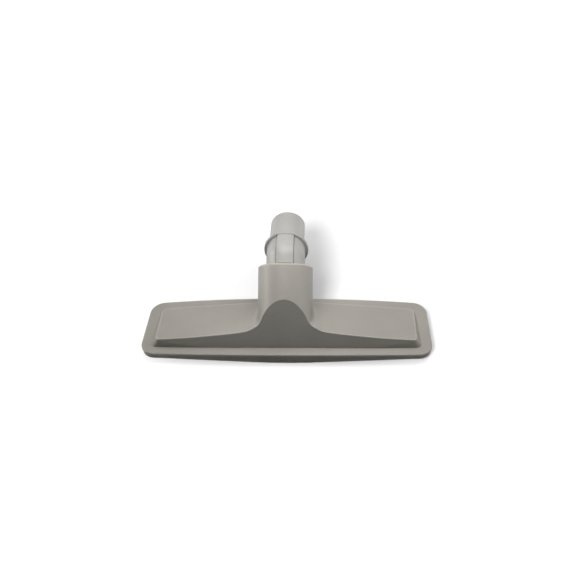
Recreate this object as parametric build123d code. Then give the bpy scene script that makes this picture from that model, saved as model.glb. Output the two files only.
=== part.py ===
# Vacuum floor brush: a wide housing on bristles, with a swivelling bent elbow that takes a 32 mm wand.
# Millimetres. +X runs along the brush, -Y is its front, +Z is up, and the bristle tips stand on Z = 0.
import os
from math import cos, radians, sin, tan

from build123d import *

# Plan of the housing's rim
rim_half = 132.5             # half width at the front corners
rim_taper = 4.0              # how much narrower each half is at the back corners
rim_front_y = -35.8          # front edge at the middle
rim_back_y = 35.2            # back edge at the middle
rim_front_bow = 1.4          # how far the front corners lie behind the middle
rim_back_bow = 6.4           # how far the back corners lie ahead of the middle
rim_front_corner = 12.5
rim_back_corner = 14.0

# Heights
rim_top = 12.0
rim_thickness = 2.2
rim_edge_chamfer = 0.5
plate_gap = 0.2              # between the rim's underside and the sole plate
plate_thickness = 2.2
skirt_edge_z = 5.8           # the skirt's lower edge, away from the chin
chin_z = 0.8                 # the lowest point of the skirt, at the middle of the front
chin_arc_z = 2.2             # where the chin's middle arc meets its straight flanks
chin_arc_half = 40.0
chin_end = 19.5              # the chin ends this far from the rim's front corners

# Raised body on the rim. Its top is ruled between a front and a back line of heights over the rim.
front_ledge = 8.6            # how much rim shows in front of the body, behind it and beside it
back_ledge = 10.0
end_ledge = 10.0
wall = 2.5
wall_draft = 9.0             # degrees, on the ends and the back
crest_heights = [
    (0.0, 31.0), (15.0, 30.2), (20.0, 28.0), (25.0, 22.6), (28.0, 20.2), (31.0, 18.4), (35.0, 17.1),
    (40.0, 16.1), (56.0, 13.9), (76.0, 11.6), (97.0, 9.8), (135.0, 8.7),
]
back_heights = [
    (0.0, 5.8), (15.0, 5.6), (20.0, 5.5), (25.0, 5.3), (28.0, 5.2), (31.0, 5.1), (35.0, 4.9),
    (40.0, 4.7), (56.0, 4.0), (76.0, 3.2), (97.0, 2.5), (135.0, 2.2),
]
crest_line_y = -24.6
back_line_y = 24.0
nose_lap = 0.5               # how far the drafted outline starts ahead of the nose, which then cuts it
nose_lean = 14.3             # degrees from upright where the front wall meets the rim
nose_radius = 600.0          # the front wall is part of a wide barrel of this radius
nose_top_turn = 24.0         # the barrel's arc ends above the neck, at this turn from its lowest point

# Neck
neck_rise = 38.0             # degrees above the floor, towards the back
neck_mouth_y = 28.0
neck_mouth_z = 60.5
neck_radius = 24.75
neck_wall = 3.0
neck_cap = 3.2               # inward lip at the mouth that carries the elbow
neck_foot_round = 9.0
neck_rim_chamfer = 1.1

# Elbow
elbow_bend = 43.0            # degrees between the neck's axis and the wand's axis
elbow_radius = 17.5
journal_radius = 16.9
journal_clearance = 0.25
journal_length = 14.0
mouth_clearance = 0.3        # between the elbow's shoulder and the neck's mouth
elbow_bore = 14.2
ball_height = 8.2            # the bend's centre above the neck's mouth
collar_offset = 11.0         # from the bend's centre to the collar's near face
collar_thickness = 3.0
collar_radius = 20.2
collar_chamfer = 0.6
tube_radius = 16.0           # the 32 mm wand size
tube_length = 35.5           # from the collar to the end
tube_chamfer = 0.8
spine_width = 15.4
spine_height = 1.6

# Neck bearing, below the cap
stack_gap = 0.1
turn_gap = 0.3               # between the washer, which stands still, and the ring, which turns
seal_thickness = 2.0
washer_thickness = 1.0
ring_thickness = 1.6
ring_hold = 1.1              # how deep the ring sits in the journal's groove
ring_radius = 20.4
ring_split = 5.0

# Sole
skirt_inset = 0.7            # the skirt's face behind the rim's edge
skirt_wall = 2.0
locating_gap = 0.3
locating_rib = 1.5
locating_height = 2.0
mouth_end = 54.5             # from the suction mouth's ends to the rim's front corners
mouth_front_y = -9.0
mouth_back_y = 7.0

# Bristle strips
strip_inset = 13.0           # a strip's middle behind the rim's edge
rear_strip_y = 16.5
strip_width = 6.0
strip_thickness = 2.4
strip_gap = 0.1
rail_width = 1.4
corner_gap = 4.0             # between the end of one strip and the side of the next
crumb_gap_half = 30.0        # half the gap in the front row that lets crumbs in
tuft_pitch = 5.4
tuft_root_radius = 1.4
tuft_tip_radius = 2.1
tuft_set = 1.6               # how deep a tuft is set in its strip
tuft_gap = 0.05

# Screws
screw_shank = 1.6
screw_clearance = 0.05
screw_head_radius = 3.1
screw_head_height = 1.6
screw_length = 7.0
boss_radius = 3.8
wing_screw_end = 34.5        # from the wing screws to the rim's front corners
screw_places = [(rim_half - wing_screw_end, -9.0), (rim_half - wing_screw_end, 4.0), (14.0, -18.4)]


rim_under = rim_top - rim_thickness
plate_top = rim_under - plate_gap
plate_under = plate_top - plate_thickness
strip_under = plate_under - strip_thickness
up_reach = neck_mouth_z + 2 * neck_radius    # taller than anything on the brush
neck_depth = (neck_mouth_z + neck_radius) / sin(radians(neck_rise))    # from the neck's mouth to below the floor

neck_plane = Plane(
    origin=(0, neck_mouth_y, neck_mouth_z),
    x_dir=(1, 0, 0),
    z_dir=(0, cos(radians(neck_rise)), sin(radians(neck_rise))),
)
bend_centre = neck_plane.origin + neck_plane.z_dir * ball_height
wand_rise = neck_rise - elbow_bend
wand_plane = Plane(
    origin=bend_centre,
    x_dir=(1, 0, 0),
    z_dir=(0, cos(radians(wand_rise)), sin(radians(wand_rise))),
)


def rim_face(inset, back_inset=None, end_inset=None):
    """The rim's outline, moved in from the front, the back and the ends, as a face at Z = 0."""
    back_inset = inset if back_inset is None else back_inset
    end_inset = inset if end_inset is None else end_inset
    front_x = rim_half - end_inset
    back_x = front_x - rim_taper
    front_y = rim_front_y + inset
    back_y = rim_back_y - back_inset
    front = ThreePointArc(
        (-front_x, front_y + rim_front_bow), (0, front_y), (front_x, front_y + rim_front_bow)
    )
    right = Line((front_x, front_y + rim_front_bow), (back_x, back_y - rim_back_bow))
    back = ThreePointArc((back_x, back_y - rim_back_bow), (0, back_y), (-back_x, back_y - rim_back_bow))
    left = Line((-back_x, back_y - rim_back_bow), (-front_x, front_y + rim_front_bow))
    face = make_face(front + right + back + left)
    corners = face.vertices().sort_by(Axis.Y)
    face = fillet(corners[:2], max(rim_front_corner - inset, 1.0))
    corners = face.vertices().filter_by(lambda v: v.Y > 0).sort_by(Axis.Y)[-2:]
    return fillet(corners, max(rim_back_corner - inset, 1.0))


def slab(face, low, high):
    """A face extruded between two heights."""
    return extrude(Pos(0, 0, low) * face, amount=high - low)


def height_face(heights, y, drop):
    """The section of the raised body's top at one y, down to well below the rim."""
    points = [(x, rim_top + h - drop) for x, h in heights]
    mirrored = [(-x, z) for x, z in reversed(points[1:])]
    line = mirrored + points
    floor = -20.0
    top = Spline(*line)
    ends = Polyline(line[-1], (line[-1][0], floor), (line[0][0], floor), line[0])
    return Plane((0, y, 0), x_dir=(1, 0, 0), z_dir=(0, -1, 0)) * make_face(top + ends)


def heights_at(y):
    """Heights over the rim at one y, on the straight rule between the crest line and the back line."""
    share = (y - crest_line_y) / (back_line_y - crest_line_y)
    return [(x, front + share * (back - front)) for (x, front), (_, back) in zip(crest_heights, back_heights)]


def nose_barrel(inset):
    """Everything behind the front wall, whose side view is one shallow arc."""
    centre_y = rim_front_y + front_ledge + nose_radius * cos(radians(nose_lean))
    centre_z = rim_top - nose_radius * sin(radians(nose_lean))
    radius = nose_radius - inset
    low, middle, high = [
        (centre_y - radius * cos(radians(turn)), centre_z + radius * sin(radians(turn)))
        for turn in (0, nose_lean, nose_top_turn)
    ]
    behind = centre_y
    line = ThreePointArc(low, middle, high) + Polyline(high, (behind, high[1]), (behind, low[1]), low)
    return extrude(Plane.YZ * make_face(line), amount=rim_half + 10, both=True)


def body_form(inset, neck_inset, top_reach, low):
    """The raised body and the neck as one solid, from a low level up."""
    reach = 1.5 * (rim_back_y - rim_front_y) / 2
    near = height_face(heights_at(-reach), -reach, inset)
    far = height_face(heights_at(reach), reach, inset)
    form = loft([near, far], ruled=True)
    form = form + cylinder_on(neck_plane, neck_radius - neck_inset, top_reach - neck_depth, top_reach)
    if neck_inset == 0:
        form = fillet(neck_foot(form), neck_foot_round)
    outline = rim_face(front_ledge - nose_lap + inset, back_ledge + inset, end_ledge + inset)
    plan = slab(outline, low, rim_top) + extrude(Pos(0, 0, rim_top) * outline, amount=up_reach, taper=wall_draft)
    return form & nose_barrel(inset) & (plan + neck_clearance_wedge())


def neck_foot(form):
    """The edges where the neck's outside meets the raised body's top."""
    curves = form.edges().filter_by(GeomType.LINE, reverse=True)
    on_neck = [
        edge for edge in curves
        if all(abs(distance_to_neck(edge @ share) - neck_radius) < 0.05 for share in (0.25, 0.5))
    ]
    return [edge for edge in on_neck if 1 - neck_depth < height_on_neck(edge @ 0.5) < -1]


def neck_clearance_wedge():
    """The space behind the back wall that the neck reaches into, from just under the neck upwards."""
    under_y = neck_mouth_y + neck_radius * sin(radians(neck_rise))
    under_z = neck_mouth_z - neck_radius * cos(radians(neck_rise)) - 1.5
    start_y = 0.0
    end_y = under_y + 30
    slope = tan(radians(neck_rise))
    above = 1.5 * up_reach
    side = Polyline(
        (start_y, under_z + (start_y - under_y) * slope),
        (end_y, under_z + (end_y - under_y) * slope),
        (end_y, above),
        (start_y, above),
        close=True,
    )
    return extrude(Plane.YZ * make_face(side), amount=neck_radius + 12, both=True)


def distance_to_neck(point):
    local = neck_plane.to_local_coords(point)
    return (local.X**2 + local.Y**2) ** 0.5


def height_on_neck(point):
    return neck_plane.to_local_coords(point).Z


def cylinder_on(plane, radius, low, high):
    """A cylinder about a plane's axis, between two heights on it."""
    return plane * Pos(0, 0, low) * Cylinder(radius, high - low, align=(Align.CENTER, Align.CENTER, Align.MIN))


def mirrored_places():
    return [(side * x, y) for x, y in screw_places for side in (-1, 1)]


def make_housing():
    """One moulding: rim, raised body, neck with its inward cap, and the screw bosses."""
    outer = body_form(0, 0, 0, rim_under)
    outer = chamfer(neck_rim(outer), neck_rim_chamfer)
    rim = slab(rim_face(0), rim_under, rim_top)
    rim = chamfer(rim.faces().sort_by(Axis.Z)[-1].edges(), rim_edge_chamfer)
    cavity = body_form(wall, neck_wall, -neck_cap, rim_under - 1)
    mouth = cylinder_on(neck_plane, journal_radius + journal_clearance, -neck_cap - 1, 1)
    housing = rim + outer - cavity - mouth
    low = (Align.CENTER, Align.CENTER, Align.MIN)
    for x, y in mirrored_places():
        boss = Pos(x, y, 0) * Cylinder(boss_radius, up_reach, align=low)
        pilot = Pos(x, y, rim_under - 1) * Cylinder(screw_shank + screw_clearance, screw_length, align=low)
        housing = housing + (boss & outer) - pilot
    return housing


def neck_rim(form):
    """The outer edge of the neck's mouth."""
    at_mouth = [edge for edge in form.edges() if abs(height_on_neck(edge @ 0.5)) < 0.01]
    return [edge for edge in at_mouth if distance_to_neck(edge @ 0.5) > neck_radius - 0.01]


def make_sole():
    """One moulding: a plate, the skirt below its edge with a chin at the front, and rails for the strips."""
    plate = slab(rim_face(skirt_inset), plate_under, plate_top)
    skirt = slab(rim_face(skirt_inset), chin_z, plate_top)
    skirt -= slab(rim_face(skirt_inset + skirt_wall), chin_z, plate_top)
    below = -5.0
    chin_half = rim_half - chin_end
    past_end = rim_half + 20
    edge = Polyline((-past_end, skirt_edge_z), (-chin_half, skirt_edge_z), (-chin_arc_half, chin_arc_z))
    edge += ThreePointArc((-chin_arc_half, chin_arc_z), (0, chin_z), (chin_arc_half, chin_arc_z))
    edge += Polyline((chin_arc_half, chin_arc_z), (chin_half, skirt_edge_z), (past_end, skirt_edge_z))
    edge += Polyline((past_end, skirt_edge_z), (past_end, below), (-past_end, below), (-past_end, skirt_edge_z))
    side = Plane((0, rim_back_y + 20, 0), x_dir=(1, 0, 0), z_dir=(0, -1, 0))
    under_edge = extrude(side * make_face(edge), amount=rim_back_y - rim_front_y + 40)
    behind_corners = Pos(0, rim_front_y + rim_front_corner, below) * Box(
        2 * past_end, up_reach + past_end, skirt_edge_z - below, align=(Align.CENTER, Align.MIN, Align.MIN)
    )
    sole = plate + (skirt - under_edge - behind_corners)
    cavity_inset = wall + locating_gap
    lip = lip_slab(cavity_inset) - lip_slab(cavity_inset + locating_rib)
    sole += lip
    for strip in strips():
        sole += strip_rails(strip)
    mouth_y = (mouth_front_y + mouth_back_y) / 2
    mouth = SlotOverall(2 * (rim_half - mouth_end), mouth_back_y - mouth_front_y)
    sole -= Pos(0, mouth_y, 0) * extrude(mouth, amount=plate_top + 5)
    for x, y in mirrored_places():
        sole -= Pos(x, y, 0) * Cylinder(screw_shank + 4 * screw_clearance, 60)
    return sole


def lip_slab(inset):
    """The space inside the housing's walls, at the height of the lip that locates the sole in it."""
    outline = rim_face(front_ledge + inset, back_ledge + inset, end_ledge + inset)
    return slab(outline, plate_top, plate_top + locating_height)


def strips():
    """Each bristle strip as its name, its middle, its length and its turn about Z."""
    end_x = rim_half - rim_taper - strip_inset
    front_y = rim_front_y + strip_inset
    row_end = end_x - strip_width / 2 - corner_gap
    side_low = front_y + strip_width / 2 + corner_gap
    side_high = rear_strip_y - strip_width / 2 - corner_gap
    front_length = row_end - crumb_gap_half
    front_x = (row_end + crumb_gap_half) / 2
    side_y = (side_low + side_high) / 2
    return [
        ("front_left", (-front_x, front_y), front_length, 0),
        ("front_right", (front_x, front_y), front_length, 0),
        ("rear", (0, rear_strip_y), 2 * row_end, 0),
        ("left", (-end_x, side_y), side_high - side_low, 90),
        ("right", (end_x, side_y), side_high - side_low, 90),
    ]


def at_strip(strip, z):
    _, (x, y), _, turn = strip
    return Pos(x, y, z) * Rot(0, 0, turn)


def strip_rails(strip):
    """The channel under the sole that holds one strip."""
    length = strip[2]
    gap = strip_width + 2 * strip_gap
    low = (Align.CENTER, Align.CENTER, Align.MIN)
    channel = Box(length + 2 * (strip_gap + rail_width), gap + 2 * rail_width, strip_thickness, align=low)
    channel -= Box(length + 2 * strip_gap, gap, strip_thickness, align=low)
    return at_strip(strip, strip_under) * channel


def tuft_places(strip):
    length = strip[2]
    count = int((length - strip_width) / tuft_pitch) + 1
    return [Pos((i - (count - 1) / 2) * tuft_pitch, 0, 0) for i in range(count)]


def make_strip(strip):
    low = (Align.CENTER, Align.CENTER, Align.MIN)
    body = Box(strip[2], strip_width, strip_thickness, align=low)
    hole = extrude(RegularPolygon(tuft_root_radius + tuft_gap, 6), amount=tuft_set)
    body -= [place * hole for place in tuft_places(strip)]
    return at_strip(strip, strip_under) * body


def make_tufts(strip):
    """A row of bristle tufts, each splayed towards its tip."""
    tip = RegularPolygon(tuft_tip_radius, 6)
    waist = Pos(0, 0, strip_under) * RegularPolygon(tuft_root_radius, 6)
    tuft = loft([tip, waist], ruled=True) + extrude(waist, amount=tuft_set)
    place = at_strip(strip, 0)
    return Compound(children=[place * spot * tuft for spot in tuft_places(strip)])


def make_elbow():
    """One moulding: the journal in the neck, the ball at the bend, the stop collar and the wand tube."""
    shoulder = mouth_clearance
    elbow = cylinder_on(neck_plane, journal_radius, -journal_length, ball_height)
    elbow += cylinder_on(neck_plane, elbow_radius, shoulder, ball_height)
    elbow += Pos(*bend_centre) * Sphere(elbow_radius)
    elbow += cylinder_on(wand_plane, elbow_radius, 0, collar_offset)
    collar = cylinder_on(wand_plane, collar_radius, collar_offset, collar_offset + collar_thickness)
    elbow += chamfer(collar.edges().filter_by(GeomType.CIRCLE), collar_chamfer)
    root = collar_offset + collar_thickness
    tube = cylinder_on(wand_plane, tube_radius, root, root + tube_length)
    end = tube.faces().sort_by(lambda f: wand_plane.to_local_coords(f.center()).Z)[-1]
    elbow += chamfer(end.edges(), tube_chamfer)
    elbow += make_spine(shoulder)
    bore = cylinder_on(neck_plane, elbow_bore, -journal_length - 1, ball_height)
    bore += Pos(*bend_centre) * Sphere(elbow_bore)
    bore += cylinder_on(wand_plane, elbow_bore, 0, root + tube_length + 1)
    groove_top = ring_top() + stack_gap / 2
    groove = cylinder_on(neck_plane, journal_radius + 1, groove_top - ring_thickness - stack_gap, groove_top)
    groove -= cylinder_on(neck_plane, journal_radius - ring_hold, -40, 40)
    return elbow - bore - groove


def make_spine(shoulder):
    """The raised band over the outside of the bend, from the neck's mouth to the collar."""
    radius = elbow_radius + spine_height
    band = cylinder_on(neck_plane, radius, shoulder + 0.6, ball_height)
    band += Pos(*bend_centre) * Sphere(radius)
    band += cylinder_on(wand_plane, radius, 0, collar_offset + 0.5)
    band -= cylinder_on(neck_plane, radius + 5, -30, shoulder + 0.6)
    middle = Plane(bend_centre, x_dir=(1, 0, 0), z_dir=neck_plane.z_dir - wand_plane.z_dir)
    outside = middle * Box(spine_width, 80, 60, align=(Align.CENTER, Align.CENTER, Align.MIN))
    return band & outside


def ring_top():
    """The ring's upper face on the neck's axis: under the cap come the seal, the washer and the ring."""
    return -(neck_cap + stack_gap + seal_thickness + stack_gap + washer_thickness + turn_gap)


def make_bearing():
    """The seal and washer stay in the neck, and the split ring turns with the elbow."""
    bore = neck_radius - neck_wall
    seal_top = -(neck_cap + stack_gap)
    seal = cylinder_on(neck_plane, bore - stack_gap, seal_top - seal_thickness, seal_top)
    seal -= cylinder_on(neck_plane, journal_radius + turn_gap, -30, 10)
    washer_top = seal_top - seal_thickness - stack_gap
    washer = cylinder_on(neck_plane, bore - stack_gap, washer_top - washer_thickness, washer_top)
    washer -= cylinder_on(neck_plane, journal_radius + turn_gap, -30, 10)
    ring = cylinder_on(neck_plane, ring_radius, ring_top() - ring_thickness, ring_top())
    ring -= cylinder_on(neck_plane, journal_radius - ring_hold + stack_gap / 2, -30, 10)
    ring -= neck_plane * Pos(0, ring_radius, 0) * Box(ring_split, 2 * ring_radius, 60)
    return seal, washer, ring


def make_screws():
    low = (Align.CENTER, Align.CENTER, Align.MIN)
    head = Pos(0, 0, plate_under - screw_head_height) * Cylinder(screw_head_radius, screw_head_height, align=low)
    shank = Pos(0, 0, plate_under) * Cylinder(screw_shank, screw_length, align=low)
    screw = head + shank
    return Compound(children=[Pos(x, y, 0) * screw for x, y in mirrored_places()])


def build():
    seal, washer, ring = make_bearing()
    pieces = {
        "housing": make_housing(),
        "sole_plate": make_sole(),
        "elbow": make_elbow(),
        "neck_seal": seal,
        "thrust_washer": washer,
        "retaining_ring": ring,
        "sole_screws": make_screws(),
    }
    for strip in strips():
        pieces["strip_" + strip[0]] = make_strip(strip)
        pieces["tufts_" + strip[0]] = make_tufts(strip)
    return pieces


def middle_depth(pieces):
    """The Y half way between the front edge and the wand tube's end."""
    boxes = [pieces[name].bounding_box() for name in ("housing", "elbow")]
    return (min(box.min.Y for box in boxes) + max(box.max.Y for box in boxes)) / 2


os.makedirs("parts", exist_ok=True)
pieces = build()
to_middle = Pos(0, -middle_depth(pieces), 0)
for name, shape in pieces.items():
    solids = [to_middle * solid for solid in shape.solids()]
    export_step(Compound(children=solids), "parts/" + name + ".step")
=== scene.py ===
"""A vacuum floor brush: warm grey housing on black bristles, with a light grey elbow for a 32 mm wand."""
import math

import bmesh
import bpy
from mathutils import Matrix, Vector


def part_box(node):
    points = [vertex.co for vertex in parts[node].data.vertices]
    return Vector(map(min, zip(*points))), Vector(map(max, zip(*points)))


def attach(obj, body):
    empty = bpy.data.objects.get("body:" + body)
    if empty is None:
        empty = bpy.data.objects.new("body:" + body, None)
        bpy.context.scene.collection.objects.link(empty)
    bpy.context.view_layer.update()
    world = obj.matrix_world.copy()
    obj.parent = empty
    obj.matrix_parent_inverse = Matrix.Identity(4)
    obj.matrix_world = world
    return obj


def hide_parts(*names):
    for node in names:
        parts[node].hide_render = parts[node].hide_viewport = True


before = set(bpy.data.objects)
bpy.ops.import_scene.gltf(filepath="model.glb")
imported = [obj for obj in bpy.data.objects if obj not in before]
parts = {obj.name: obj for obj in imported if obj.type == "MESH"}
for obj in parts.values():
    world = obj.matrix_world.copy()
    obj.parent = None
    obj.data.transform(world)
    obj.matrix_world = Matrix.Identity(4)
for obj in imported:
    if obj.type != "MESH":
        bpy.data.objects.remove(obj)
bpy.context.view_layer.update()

# Housing: one injection moulding in warm grey ABS, with a wedge-topped body and the neck.
# The steel of its mould was spark-eroded to a fine satin, and the packing pressure left its colour
# very slightly uneven. It is screwed down on the sole from below.


def add(tree, kind, inputs=None, **settings):
    """Adds a node with its settings, and sets its inputs or links them to sockets or nodes' first outputs."""
    made = tree.nodes.new(kind)
    for name, value in settings.items():
        setattr(made, name, value)
    for name, value in (inputs or {}).items():
        socket = made.inputs[name]
        if isinstance(value, bpy.types.Node):
            value = value.outputs[0]
        if isinstance(value, bpy.types.NodeSocket):
            tree.links.new(value, socket)
        else:
            socket.default_value = value
    return made


def linear(hex_colour):
    """An sRGB hex colour as linear RGBA."""
    channels = [int(hex_colour[i:i + 2], 16) / 255 for i in (1, 3, 5)]
    return [c / 12.92 if c <= 0.04045 else ((c + 0.055) / 1.055) ** 2.4 for c in channels] + [1.0]


def per_metre(millimetres):
    """A noise scale that puts one blob in so many millimetres."""
    return 1000.0 / millimetres


def moulded(name, tone, shade, roughness, edge_mm, grain_mm, grain_depth_mm, ior=1.53):
    """Moulded plastic or rubber: uneven tone, uneven gloss, a fine grain, and edges with a small radius."""
    cloud_mm, fleck_mm, gloss_mm = 38, 1.6, 9
    fleck_share = 0.35
    shade_below, tone_above = 0.45, 0.9
    noise_low, noise_high = 0.3, 0.7
    smoother, rougher = 0.04, 0.05
    grain_strength = 0.5
    material = bpy.data.materials.new(name)
    material.use_nodes = True
    tree = material.node_tree
    shader = tree.nodes["Principled BSDF"]
    shader.inputs["IOR"].default_value = ior
    place = add(tree, "ShaderNodeTexCoord").outputs["Object"]
    cloud = add(tree, "ShaderNodeTexNoise", {"Vector": place, "Scale": per_metre(cloud_mm), "Detail": 3.0})
    fleck = add(tree, "ShaderNodeTexNoise", {"Vector": place, "Scale": per_metre(fleck_mm), "Detail": 2.0})
    blend = add(tree, "ShaderNodeMath", {0: fleck, 1: fleck_share, 2: cloud}, operation="MULTIPLY_ADD")
    ramp = add(tree, "ShaderNodeValToRGB", {"Fac": blend})
    ramp.color_ramp.elements[0].position = shade_below
    ramp.color_ramp.elements[0].color = linear(shade)
    ramp.color_ramp.elements[1].position = tone_above
    ramp.color_ramp.elements[1].color = linear(tone)
    tree.links.new(ramp.outputs["Color"], shader.inputs["Base Color"])
    gloss = add(tree, "ShaderNodeTexNoise", {"Vector": place, "Scale": per_metre(gloss_mm), "Detail": 4.0})
    matt = add(tree, "ShaderNodeMapRange", {
        "Value": gloss, "From Min": noise_low, "From Max": noise_high,
        "To Min": roughness - smoother, "To Max": roughness + rougher})
    tree.links.new(matt.outputs["Result"], shader.inputs["Roughness"])
    rounded = add(tree, "ShaderNodeBevel", {"Radius": edge_mm / 1000}, samples=8)
    grain = add(tree, "ShaderNodeTexNoise", {"Vector": place, "Scale": per_metre(grain_mm), "Detail": 2.0})
    relief = add(tree, "ShaderNodeBump", {
        "Strength": grain_strength, "Distance": grain_depth_mm / 1000, "Height": grain, "Normal": rounded})
    tree.links.new(relief.outputs["Normal"], shader.inputs["Normal"])
    return material


def dress(node, material):
    """Gives a CAD node its material."""
    slots = parts[node].data.materials
    slots.clear()
    slots.append(material)


warm_grey = moulded("satin_abs_warm_grey", "#a5a199", "#9d9991", 0.42, 0.6, 0.9, 0.02)
dress("housing", warm_grey)

# Painted highlight: thin light lines are painted along the raised edges round the wings and the rim, where
# their rounding catches the light.
# An edge is where the normal of a rounded copy departs from the plain one.
highlight_radius = 0.0022
highlight_starts, highlight_full = 0.99, 0.93
highlight_strength = 0.75
wings_above = 0.0135
rim_edge, rim_edge_half = 0.0117, 0.00025
tree = warm_grey.node_tree
shader = tree.nodes["Principled BSDF"]
plain_colour = shader.inputs["Base Color"].links[0].from_socket
place = add(tree, "ShaderNodeTexCoord").outputs["Object"]
height = add(tree, "ShaderNodeSeparateXYZ", {0: place}).outputs["Z"]
flat = add(tree, "ShaderNodeNewGeometry").outputs["Normal"]
rounded = add(tree, "ShaderNodeBevel", {"Radius": highlight_radius}, samples=8)
likeness = add(tree, "ShaderNodeVectorMath", {0: flat, 1: rounded}, operation="DOT_PRODUCT").outputs["Value"]
edge = add(tree, "ShaderNodeMapRange", {
    "Value": likeness, "From Min": highlight_starts, "From Max": highlight_full})
on_wings = add(tree, "ShaderNodeMath", {0: height, 1: wings_above}, operation="GREATER_THAN")
on_rim = add(tree, "ShaderNodeMath", {0: height, 1: rim_edge, 2: rim_edge_half}, operation="COMPARE")
raised = add(tree, "ShaderNodeMath", {0: on_wings, 1: on_rim}, operation="MAXIMUM")
highlit_edges = add(tree, "ShaderNodeMath", {0: edge, 1: raised}, operation="MULTIPLY")
amount = add(tree, "ShaderNodeMath", {0: highlit_edges, 1: highlight_strength}, operation="MULTIPLY")
# A mix of colours takes its share at socket 0 and the colours at 6 and 7, and gives the mixed one at output 2
# The pale colour mixed in here is the painted highlight
painted_highlight = add(tree, "ShaderNodeMix", {0: amount, 6: plain_colour, 7: linear("#cfccc3")}, data_type="RGBA")
tree.links.new(painted_highlight.outputs[2], shader.inputs["Base Color"])

# The wings' end walls lean in by some 20 degrees more than the CAD node's, so this merged copy of it is
# drawn in there, and the normals of those walls turn with them.
wall_foot = 0.012
end_lean = 0.4
lean_from, lean_full = 0.108, 0.114
same_point, near = 1e-6, 1e-5
exact = parts["housing"].data
shell = bmesh.new()
shell.from_mesh(exact)
bmesh.ops.remove_doubles(shell, verts=shell.verts, dist=same_point)
leaning = bpy.data.meshes.new("housing_shell")
shell.to_mesh(leaning)
shell.free()


def corners(mesh):
    """Each face's corners: the corner's number, its point, its face, and a key that both meshes share."""
    for face in mesh.polygons:
        for corner in face.loop_indices:
            point = mesh.vertices[mesh.loops[corner].vertex_index].co
            yield corner, point, face, tuple(round(c / near) for c in (*face.center, *point))


exact_normals = {
    key: exact.corner_normals[corner].vector.copy() for corner, point, face, key in corners(exact)}
normals = []
for corner, point, face, key in corners(leaning):
    normal = exact_normals.get(key, face.normal).copy()
    if point.z > wall_foot - near and abs(point.x) > lean_from and face.center.z > wall_foot + near:
        normal.z += math.copysign(end_lean, point.x) * normal.x
        normal.normalize()
    normals.append(normal)
for point in leaning.vertices:
    share = min(1.0, max(0.0, (abs(point.co.x) - lean_from) / (lean_full - lean_from)))
    point.co.x -= math.copysign(end_lean * share * max(0.0, point.co.z - wall_foot), point.co.x)
leaning.shade_smooth()
leaning.normals_split_custom_set(normals)
leaning.materials.clear()
leaning.materials.append(warm_grey)
housing = bpy.data.objects.new("housing_shell", leaning)
bpy.context.scene.collection.objects.link(housing)
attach(housing, "brush_head")
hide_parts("housing")

# Sole: the second grey moulding, with the skirt that shows below the rim and the chin at the front.
# It is the same ABS from a plainer mould, so it is a shade darker and more matt.
# Two screws in the middle and two in each wing hold it in the housing.
dress("sole_plate", moulded("matt_abs_sole_grey", "#99958d", "#908c85", 0.5, 0.5, 1.1, 0.03))

# Elbow: light grey ABS, lighter and cooler than the housing, turning in the neck.
# The ball, the stop collar and the wand tube are one moulding with a raised band round the bend.
light_grey = moulded("satin_abs_light_grey", "#aeada9", "#a6a5a1", 0.42, 0.5, 0.9, 0.015)
dress("elbow", light_grey)

# Painted shade: two dark lines are painted in the corners along both sides of the band, where shade falls,
# with a patchy strength.
# They lie on the outside of the bend, below the collar.
corner_x, corner_half = 0.0080, 0.0004
outward, outside_from = (0, -0.284, 0.959), 0.0651
wand_way, collar_at = (0, 0.996, -0.087), 0.0151
patch_mm = 3
noise_low, noise_high = 0.3, 0.7
least_painted_shade, most_painted_shade = 0.55, 0.85
tree = light_grey.node_tree
shader = tree.nodes["Principled BSDF"]
plain_colour = shader.inputs["Base Color"].links[0].from_socket
place = add(tree, "ShaderNodeTexCoord").outputs["Object"]
across_band = add(tree, "ShaderNodeSeparateXYZ", {0: place}).outputs["X"]
beside = add(tree, "ShaderNodeMath", {0: across_band}, operation="ABSOLUTE")
in_corner = add(tree, "ShaderNodeMath", {0: beside, 1: corner_x, 2: corner_half}, operation="COMPARE")
over_bend = add(tree, "ShaderNodeVectorMath", {0: place, 1: outward}, operation="DOT_PRODUCT")
outside = add(tree, "ShaderNodeMath", {
    0: over_bend.outputs["Value"], 1: outside_from}, operation="GREATER_THAN")
up_wand = add(tree, "ShaderNodeVectorMath", {0: place, 1: wand_way}, operation="DOT_PRODUCT")
below = add(tree, "ShaderNodeMath", {0: up_wand.outputs["Value"], 1: collar_at}, operation="LESS_THAN")
there = add(tree, "ShaderNodeMath", {0: outside, 1: below}, operation="MULTIPLY")
line = add(tree, "ShaderNodeMath", {0: there, 1: in_corner}, operation="MULTIPLY")
patchy = add(tree, "ShaderNodeTexNoise", {"Vector": place, "Scale": per_metre(patch_mm), "Detail": 2.0})
amount = add(tree, "ShaderNodeMapRange", {
    "Value": patchy, "From Min": noise_low, "From Max": noise_high,
    "To Min": least_painted_shade, "To Max": most_painted_shade})
painted_shade = add(tree, "ShaderNodeMath", {0: line, 1: amount}, operation="MULTIPLY")
# The dark grey mixed in here is the painted shade
painted_shade_colour = add(tree, "ShaderNodeMix", {0: painted_shade, 6: plain_colour, 7: linear("#6d6b67")}, data_type="RGBA")
tree.links.new(painted_shade_colour.outputs[2], shader.inputs["Base Color"])

# Neck bearing: a rubber seal and an acetal washer sit still under the neck's lip, and a split acetal ring
# snaps into the journal's groove and holds the elbow in the neck. All three are moulded. Nitrile rubber is
# a dull black, and acetal an off-white that looks waxy.
dress("neck_seal", moulded("matt_nitrile_rubber", "#1d1d1c", "#171716", 0.7, 0.3, 0.6, 0.02, 1.52))
acetal = moulded("waxy_acetal", "#dcd9cf", "#d3d0c5", 0.33, 0.2, 2.0, 0.01, 1.48)
dress("thrust_washer", acetal)
dress("retaining_ring", acetal)

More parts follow.
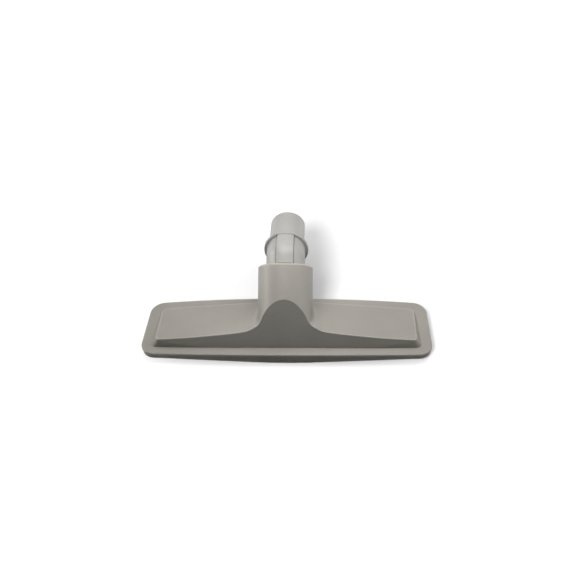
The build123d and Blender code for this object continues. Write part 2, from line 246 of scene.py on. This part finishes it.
# Bristle strips: five dark grey polypropylene bars, drilled in a row for the tufts.
# Each is pressed between the sole's rails, so its sides are hidden. Its underside shows, and is matt.
strip_plastic = moulded("matt_dark_polypropylene", "#3a3835", "#31302d", 0.55, 0.3, 0.9, 0.02, 1.49)
rows = [name[len("strip_"):] for name in parts if name.startswith("strip_")]
for row in rows:
    dress("strip_" + row, strip_plastic)

# Bristle tufts: some fifty black nylon filaments to a tuft, cut level, so that their tips stand on the floor.
# Each tuft is folded over a wire and driven into its hole in the strip, from where it splays.


def new_tree(name, **numbers):
    """A geometry tree with a mesh input, the named sizes as inputs, and its input and output nodes."""
    tree = bpy.data.node_groups.new(name, "GeometryNodeTree")
    tree.is_modifier = True
    tree.interface.new_socket("Places", in_out="INPUT", socket_type="NodeSocketGeometry")
    tree.interface.new_socket("Result", in_out="OUTPUT", socket_type="NodeSocketGeometry")
    for label, value in numbers.items():
        kind = "NodeSocketInt" if isinstance(value, int) else "NodeSocketFloat"
        tree.interface.new_socket(label, in_out="INPUT", socket_type=kind)
    return tree, add(tree, "NodeGroupInput").outputs, add(tree, "NodeGroupOutput")


def grown(name, tree, places, **numbers):
    """Runs a geometry tree on points at these places, and returns the result as a plain piece."""
    points = bpy.data.meshes.new(name + "_places")
    points.from_pydata(places, [], [])
    seed = bpy.data.objects.new(name + "_seed", points)
    bpy.context.scene.collection.objects.link(seed)
    modifier = seed.modifiers.new("grow", "NODES")
    modifier.node_group = tree
    for item in tree.interface.items_tree:
        if item.in_out == "INPUT" and item.name in numbers:
            modifier[item.identifier] = numbers[item.name]
    evaluated = seed.evaluated_get(bpy.context.evaluated_depsgraph_get())
    mesh = bpy.data.meshes.new_from_object(evaluated)
    seed.modifiers.remove(modifier)
    bpy.data.objects.remove(seed)
    piece = bpy.data.objects.new(name, mesh)
    bpy.context.scene.collection.objects.link(piece)
    return piece


# Nylon filament as it is drawn: black, with a tone and a dull sheen that vary from hair to hair
hair_mm = 0.8
black_below, grey_above = 0.35, 0.7
smoothest, roughest = 0.38, 0.55
nylon = bpy.data.materials.new("drawn_black_nylon")
nylon.use_nodes = True
tree = nylon.node_tree
shader = tree.nodes["Principled BSDF"]
shader.inputs["IOR"].default_value = 1.53
place = add(tree, "ShaderNodeTexCoord").outputs["Object"]
hairs = add(tree, "ShaderNodeTexNoise", {"Vector": place, "Scale": per_metre(hair_mm), "Detail": 2.0})
ramp = add(tree, "ShaderNodeValToRGB", {"Fac": hairs})
ramp.color_ramp.elements[0].position = black_below
ramp.color_ramp.elements[0].color = linear("#151514")
ramp.color_ramp.elements[1].position = grey_above
ramp.color_ramp.elements[1].color = linear("#2b2a28")
tree.links.new(ramp.outputs["Color"], shader.inputs["Base Color"])
matt = add(tree, "ShaderNodeMapRange", {"Value": hairs, "To Min": smoothest, "To Max": roughest})
tree.links.new(matt.outputs["Result"], shader.inputs["Roughness"])

tuft_sizes = {
    "Filaments": 56,
    "Root radius": 0.00107,
    "Splay": 0.64,
    "Free length": 0.005,
    "Set depth": 0.0014,
    "Filament radius": 0.000125,
    "Straying": 0.0002,
    "Seed": 7,
}
full_turn = 2 * math.pi
bend_power = 1.5
tree, size, result = new_tree("bristle_tufts", **tuft_sizes)
next_seeds = [add(tree, "ShaderNodeMath", {0: size["Seed"], 1: step}, operation="ADD") for step in (1, 2, 3)]

# Roots strewn evenly over a disc, each with the offset that its tip ends at. A random number has its highest
# value at socket 3 and its seed at 8, and comes out at output 1.
bearing = add(tree, "FunctionNodeRandomValue", {3: full_turn, 8: size["Seed"]}, data_type="FLOAT").outputs[1]
share = add(tree, "FunctionNodeRandomValue", {8: next_seeds[0]}, data_type="FLOAT").outputs[1]
even = add(tree, "ShaderNodeMath", {0: share}, operation="SQRT")
reach = add(tree, "ShaderNodeMath", {0: even, 1: size["Root radius"]}, operation="MULTIPLY")
cosine = add(tree, "ShaderNodeMath", {0: bearing}, operation="COSINE")
sine = add(tree, "ShaderNodeMath", {0: bearing}, operation="SINE")
root = add(tree, "ShaderNodeCombineXYZ", {
    "X": add(tree, "ShaderNodeMath", {0: reach, 1: cosine}, operation="MULTIPLY"),
    "Y": add(tree, "ShaderNodeMath", {0: reach, 1: sine}, operation="MULTIPLY")})
stray = add(tree, "FunctionNodeRandomValue", {0: (-1, -1, 0), 1: (1, 1, 1), 8: next_seeds[1]},
            data_type="FLOAT_VECTOR")
splayed = add(tree, "ShaderNodeVectorMath", {0: root, "Scale": size["Splay"]}, operation="SCALE")
astray = add(tree, "ShaderNodeVectorMath", {0: stray, "Scale": size["Straying"]}, operation="SCALE")
tip_offset = add(tree, "ShaderNodeVectorMath", {0: splayed, 1: astray}, operation="ADD")
roots = add(tree, "GeometryNodePoints", {"Count": size["Filaments"], "Position": root})
roots = add(tree, "GeometryNodeStoreNamedAttribute", {
    "Geometry": roots, "Name": "tip_offset", "Value": tip_offset}, data_type="FLOAT_VECTOR", domain="POINT")

# One straight filament at each root, from its tip up into the strip, then bent outwards towards the tip
length = add(tree, "ShaderNodeMath", {0: size["Free length"], 1: size["Set depth"]}, operation="ADD")
hair = add(tree, "GeometryNodeMeshCylinder", {
    "Vertices": 4, "Side Segments": 3, "Radius": size["Filament radius"], "Depth": length})
half_length = add(tree, "ShaderNodeMath", {0: length, 1: 0.5}, operation="MULTIPLY")
middle = add(tree, "ShaderNodeCombineXYZ", {"Z": half_length})
hair = add(tree, "GeometryNodeTransform", {"Geometry": hair, "Translation": middle})
twist = add(tree, "ShaderNodeCombineXYZ", {"Z": bearing})
tuft = add(tree, "GeometryNodeInstanceOnPoints", {"Points": roots, "Instance": hair, "Rotation": twist})
tuft = add(tree, "GeometryNodeRealizeInstances", {"Geometry": tuft})
position = add(tree, "GeometryNodeInputPosition")
height = add(tree, "ShaderNodeSeparateXYZ", {0: position}).outputs["Z"]
below = add(tree, "ShaderNodeMapRange", {"Value": height, "From Min": size["Free length"], "From Max": 0.0})
bending = add(tree, "ShaderNodeMath", {0: below, 1: bend_power}, operation="POWER")
marked = add(tree, "GeometryNodeInputNamedAttribute", {"Name": "tip_offset"}, data_type="FLOAT_VECTOR")
bend = add(tree, "ShaderNodeVectorMath", {0: marked, "Scale": bending}, operation="SCALE")
tuft = add(tree, "GeometryNodeSetPosition", {"Geometry": tuft, "Offset": bend})
tuft = add(tree, "GeometryNodeRemoveAttribute", {"Geometry": tuft, "Name": "tip_offset"})

# The tuft at every place, each turned by another angle
turned = add(tree, "FunctionNodeRandomValue", {3: full_turn, 8: next_seeds[2]}, data_type="FLOAT").outputs[1]
twist = add(tree, "ShaderNodeCombineXYZ", {"Z": turned})
tufts = add(tree, "GeometryNodeInstanceOnPoints", {
    "Points": size["Places"], "Instance": tuft, "Rotation": twist})
tufts = add(tree, "GeometryNodeRealizeInstances", {"Geometry": tufts})
tufts = add(tree, "GeometryNodeSetShadeSmooth", {"Geometry": tufts})
tufts = add(tree, "GeometryNodeSetMaterial", {"Geometry": tufts, "Material": nylon})
tree.links.new(tufts.outputs[0], result.inputs["Result"])

tuft_pitch = 0.0054
tuft_tip_radius = 0.0021
tuft_places = []
for row in rows:
    low, high = [Vector(corner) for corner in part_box("tufts_" + row)]
    along = Vector((1, 0, 0)) if high.x - low.x > high.y - low.y else Vector((0, 1, 0))
    span = (high - low).dot(along)
    centre = Vector(((low.x + high.x) / 2, (low.y + high.y) / 2, 0))
    first = centre - along * (span / 2 - tuft_tip_radius)
    count = round((span - 2 * tuft_tip_radius) / tuft_pitch) + 1
    tuft_places += [first + along * (tuft_pitch * i) for i in range(count)]
bristles = grown("bristle_tufts", tree, tuft_places, **tuft_sizes)
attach(bristles, "brush_head")
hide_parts(*["tufts_" + row for row in rows])

# Sole screws: six thread-forming pan-head screws of zinc-plated steel, driven up into the housing's bosses.
# The head is cold-headed with a cross recess and stands on the sole's underside.
zinc = bpy.data.materials.new("bright_zinc_plated_steel")
zinc.use_nodes = True
tree = zinc.node_tree
shader = tree.nodes["Principled BSDF"]
shader.inputs["Metallic"].default_value = 1.0
place = add(tree, "ShaderNodeTexCoord").outputs["Object"]
# Plating crystals are far finer than this, so they are drawn 0.6 mm wide to show at all
crystal_mm = 0.6
dull_below, bright_above = 0.35, 0.65
smoothest, roughest = 0.22, 0.42
bloom = add(tree, "ShaderNodeTexNoise", {"Vector": place, "Scale": per_metre(crystal_mm), "Detail": 3.0})
ramp = add(tree, "ShaderNodeValToRGB", {"Fac": bloom})
ramp.color_ramp.elements[0].position = dull_below
ramp.color_ramp.elements[0].color = linear("#a6a8a8")
ramp.color_ramp.elements[1].position = bright_above
ramp.color_ramp.elements[1].color = linear("#bcbdbb")
tree.links.new(ramp.outputs["Color"], shader.inputs["Base Color"])
matt = add(tree, "ShaderNodeMapRange", {"Value": bloom, "To Min": smoothest, "To Max": roughest})
tree.links.new(matt.outputs["Result"], shader.inputs["Roughness"])

screw_sizes = {
    "Head radius": 0.0031,
    "Head height": 0.0016,
    "Core radius": 0.0012,
    "Thread depth": 0.00034,
    "Length": 0.007,
    "Turns": 5.0,
    "Recess length": 0.0034,
    "Recess width": 0.0008,
    "Recess depth": 0.0011,
    "Seed": 3,
}
crown_power, crown_rounding = 3.0, 0.3
recess_taper = 0.5
point_from, point_taper = 0.75, 0.75
threaded_share, thread_start = 0.74, 0.0004
crease_angle = math.radians(35)
quarter_turn = math.pi / 2
tree, size, result = new_tree("sole_screws", **screw_sizes)
position = add(tree, "GeometryNodeInputPosition")
depth = add(tree, "ShaderNodeSeparateXYZ", {0: position}).outputs["Z"]
flat = add(tree, "ShaderNodeVectorMath", {0: position, 1: (1, 1, 0)}, operation="MULTIPLY")


def narrowed(mesh, amount, times=1.0):
    """The mesh with its points moved in towards the screw's axis by a share, or so many times that share."""
    inward = add(tree, "ShaderNodeMath", {0: amount, 1: -times}, operation="MULTIPLY")
    offset = add(tree, "ShaderNodeVectorMath", {0: flat, "Scale": inward}, operation="SCALE")
    return add(tree, "GeometryNodeSetPosition", {"Geometry": mesh, "Offset": offset})


def moved_up(mesh, distance, times=1.0):
    """The mesh moved along the screw's axis by a distance, or so many times that distance."""
    height = add(tree, "ShaderNodeMath", {0: distance, 1: times}, operation="MULTIPLY")
    up = add(tree, "ShaderNodeCombineXYZ", {"Z": height})
    return add(tree, "GeometryNodeTransform", {"Geometry": mesh, "Translation": up})


# The head, rounded towards its face, with the cross cut into it by two tapered blades
crown = add(tree, "GeometryNodeMeshCylinder", {
    "Vertices": 32, "Side Segments": 6, "Radius": size["Head radius"], "Depth": size["Head height"]})
crown = moved_up(crown, size["Head height"], -0.5)
under = add(tree, "ShaderNodeMath", {0: depth}, operation="ABSOLUTE")
share = add(tree, "ShaderNodeMath", {0: under, 1: size["Head height"]}, operation="DIVIDE")
rounding = add(tree, "ShaderNodeMath", {0: share, 1: crown_power}, operation="POWER")
crown = narrowed(crown, rounding, crown_rounding)
cut = add(tree, "GeometryNodeMeshBoolean", {"Mesh 1": crown}, operation="DIFFERENCE", solver="EXACT")
twice_as_deep = add(tree, "ShaderNodeMath", {0: size["Recess depth"], 1: 2.0}, operation="MULTIPLY")
for wide, deep in (("Recess length", "Recess width"), ("Recess width", "Recess length")):
    block = add(tree, "ShaderNodeCombineXYZ", {"X": size[wide], "Y": size[deep], "Z": twice_as_deep})
    blade = add(tree, "GeometryNodeMeshCube", {"Size": block})
    inside = add(tree, "ShaderNodeMapRange", {
        "Value": depth, "From Min": 0.0, "From Max": size["Recess depth"], "To Max": recess_taper})
    blade = moved_up(narrowed(blade, inside), size["Head height"], -1.0)
    tree.links.new(blade.outputs[0], cut.inputs["Mesh 2"])

# The shank with its point, and the thread wound round it
shank = add(tree, "GeometryNodeMeshCylinder", {
    "Vertices": 20, "Side Segments": 10, "Radius": size["Core radius"], "Depth": size["Length"]})
shank = moved_up(shank, size["Length"], 0.5)
tapering = add(tree, "ShaderNodeMath", {0: size["Length"], 1: point_from}, operation="MULTIPLY")
point = add(tree, "ShaderNodeMapRange", {
    "Value": depth, "From Min": tapering, "From Max": size["Length"], "To Max": point_taper})
shank = narrowed(shank, point)
threaded = add(tree, "ShaderNodeMath", {0: size["Length"], 1: threaded_share}, operation="MULTIPLY")
helix = add(tree, "GeometryNodeCurveSpiral", {
    "Resolution": 20, "Rotations": size["Turns"], "Start Radius": size["Core radius"],
    "End Radius": size["Core radius"], "Height": threaded})
ridge = add(tree, "GeometryNodeCurvePrimitiveCircle", {"Resolution": 3, "Radius": size["Thread depth"]})
thread = add(tree, "GeometryNodeCurveToMesh", {"Curve": helix, "Profile Curve": ridge, "Fill Caps": True})
whole = add(tree, "GeometryNodeJoinGeometry")
for piece in (moved_up(thread, thread_start), shank, cut):
    tree.links.new(piece.outputs[0], whole.inputs["Geometry"])

# Sharp edges kept sharp, and the screw at every place, each driven home at another angle
angle = add(tree, "GeometryNodeInputMeshEdgeAngle").outputs["Unsigned Angle"]
crease = add(tree, "FunctionNodeCompare", {0: angle, 1: crease_angle}, operation="GREATER_THAN")
smooth = add(tree, "GeometryNodeSetShadeSmooth", {"Geometry": whole}, domain="FACE")
smooth = add(tree, "GeometryNodeSetShadeSmooth", {
    "Geometry": smooth, "Selection": crease, "Shade Smooth": False}, domain="EDGE")
driven = add(tree, "FunctionNodeRandomValue", {3: quarter_turn, 8: size["Seed"]}, data_type="FLOAT")
twist = add(tree, "ShaderNodeCombineXYZ", {"Z": driven.outputs[1]})
screws = add(tree, "GeometryNodeInstanceOnPoints", {
    "Points": size["Places"], "Instance": smooth, "Rotation": twist})
screws = add(tree, "GeometryNodeRealizeInstances", {"Geometry": screws})
screws = add(tree, "GeometryNodeSetMaterial", {"Geometry": screws, "Material": zinc})
tree.links.new(screws.outputs[0], result.inputs["Result"])

sole_underside = 0.0074
wing_screws_x, wing_screws_y = 0.098, (-0.033649, -0.020649)
middle_screw_x, middle_screw_y = 0.014, -0.043049
spots = [(wing_screws_x, y) for y in wing_screws_y] + [(middle_screw_x, middle_screw_y)]
screw_places = [(side * x, y, sole_underside) for side in (-1, 1) for x, y in spots]
screws = grown("cross_head_screws", tree, screw_places, **screw_sizes)
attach(screws, "brush_head")
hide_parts("sole_screws")

# Floor: a sweep of white paper. The eye sees it lit and with a glow of its own, which grows away from the
# brush and keeps it white to its far edge. It throws far less light back on the brush, as in the photograph.
floor_span = 12.0
seen_white, thrown_back = 0.5, 0.055
glow_from, glow_full = 0.04, 0.38
glow_near, glow_far = 0.08, 1.05
bpy.ops.mesh.primitive_plane_add(size=floor_span, location=(0, 0, 0))
floor = bpy.context.object
floor.name = "floor"
paper = bpy.data.materials.new("white_paper_sweep")
paper.use_nodes = True
tree = paper.node_tree
tree.nodes.remove(tree.nodes["Principled BSDF"])
ray = add(tree, "ShaderNodeLightPath").outputs
seen = add(tree, "ShaderNodeMath", {0: ray["Is Camera Ray"], 1: ray["Is Glossy Ray"]}, operation="MAXIMUM")
seen = add(tree, "ShaderNodeMath", {0: seen, 1: ray["Is Transmission Ray"]}, operation="MAXIMUM")
place = add(tree, "ShaderNodeTexCoord").outputs["Object"]
away = add(tree, "ShaderNodeVectorMath", {0: place}, operation="LENGTH").outputs["Value"]
glow = add(tree, "ShaderNodeMapRange", {
    "Value": away, "From Min": glow_from, "From Max": glow_full, "To Min": glow_near, "To Max": glow_far},
    interpolation_type="SMOOTHSTEP")
lit = add(tree, "ShaderNodeBsdfDiffuse", {"Color": (seen_white, seen_white, seen_white, 1)})
glowing = add(tree, "ShaderNodeEmission", {"Color": (1, 1, 1, 1), "Strength": glow})
bright = add(tree, "ShaderNodeAddShader", {0: lit, 1: glowing})
bounce = add(tree, "ShaderNodeBsdfDiffuse", {"Color": (thrown_back, thrown_back, thrown_back, 1)})
surface = add(tree, "ShaderNodeMixShader", {0: seen, 1: bounce, 2: bright})
tree.links.new(surface.outputs[0], tree.nodes["Material Output"].inputs["Surface"])
floor.data.materials.append(paper)

# Studio: a broad soft box overhead, two behind, one on each side, and three small ones close by, which
# brighten the neck and the elbow. The camera sees none of them.
scene = bpy.context.scene


def soft_box(name, place, aim, size, power):
    """An area lamp that faces its aim and is hidden from the camera."""
    light = bpy.data.lights.new(name, "AREA")
    light.shape = "RECTANGLE"
    light.size, light.size_y = size
    light.energy = power
    box = bpy.data.objects.new(name, light)
    box.location = place
    box.rotation_euler = (Vector(aim) - Vector(place)).to_track_quat("-Z", "Y").to_euler()
    box.visible_camera = False
    scene.collection.objects.link(box)
    return box


soft_box("overhead_box", (0, 0.05, 1.3), (0, 0, 0), (1.0, 1.0), 5.6)
soft_box("high_rear_box", (0, 0.7, 1.1), (0, 0, 0), (1.2, 0.8), 0.8)
soft_box("low_rear_box", (0, 1.3, 0.5), (0, 0, 0), (1.4, 0.5), 1.9)
soft_box("left_box", (-1.28, 0.2, 0.38), (0, 0, 0), (0.6, 0.45), 7.4)
soft_box("right_box", (1.3, 0, 0.35), (0, 0, 0), (0.6, 0.5), 1.6)
soft_box("close_right_box", (0.28, 0, 0.38), (0, 0, 0.03), (0.3, 0.3), 0.6)
soft_box("close_top_box", (0, 0.02, 0.30), (0, 0, 0.03), (0.25, 0.15), 0.25)
soft_box("neck_box", (-0.01, -0.042, 0.185), (0, 0, 0.045), (0.07, 0.07), 0.04)

# One lamp over the camera's left shoulder lights the floor alone, for the soft shadow on the right
floor_box = soft_box("floor_box", (-0.31, -0.98, 1.1), (0, 0, 0), (0.4, 0.4), 30.0)
receivers = bpy.data.collections.new("floor_only")
receivers.objects.link(floor)
floor_box.light_linking.receiver_collection = receivers

# A faint air light fills in from all sides, and the backdrop is plain white
air_strength, backdrop_strength = 0.02, 1.0
world = bpy.data.worlds.new("studio_air")
scene.world = world
world.use_nodes = True
tree = world.node_tree
air = tree.nodes["Background"]
air.inputs["Color"].default_value = (1, 1, 1, 1)
air.inputs["Strength"].default_value = air_strength
ray = add(tree, "ShaderNodeLightPath").outputs
seen = add(tree, "ShaderNodeMath", {
    0: ray["Is Camera Ray"], 1: ray["Is Transmission Ray"]}, operation="MAXIMUM")
backdrop = add(tree, "ShaderNodeBackground", {"Color": (1, 1, 1, 1), "Strength": backdrop_strength})
surround = add(tree, "ShaderNodeMixShader", {0: seen, 1: air, 2: backdrop})
tree.links.new(surround.outputs[0], tree.nodes["World Output"].inputs["Surface"])

# Camera: above the front, looking down at 45 degrees, with the right end a little nearer.
photo_pixels = 576
sensor_mm = 36.0
focal_pixels = 923.86
look_down = math.radians(45.074)
turn = math.radians(4.628)
tilt = math.radians(3.29)
distance = 0.85142
aim = Vector((0.0013, 0.0, 0.036436))
ahead = Vector((0, math.cos(look_down), -math.sin(look_down)))
across = Vector((1, 0, 0))
upward = across.cross(ahead)
turned = Matrix.Rotation(turn, 3, "Z")
place = turned @ (aim - ahead * distance)
ahead, across, upward = turned @ ahead, turned @ across, turned @ upward
right = across * math.cos(tilt) - upward * math.sin(tilt)
top = across * math.sin(tilt) + upward * math.cos(tilt)
camera_data = bpy.data.cameras.new("camera")
camera_data.sensor_width = sensor_mm
camera_data.lens = focal_pixels / photo_pixels * sensor_mm
camera = bpy.data.objects.new("camera", camera_data)
camera.matrix_world = Matrix.Translation(place) @ Matrix((right, top, -ahead)).transposed().to_4x4()
scene.collection.objects.link(camera)
scene.camera = camera
scene.view_settings.view_transform = "Standard"
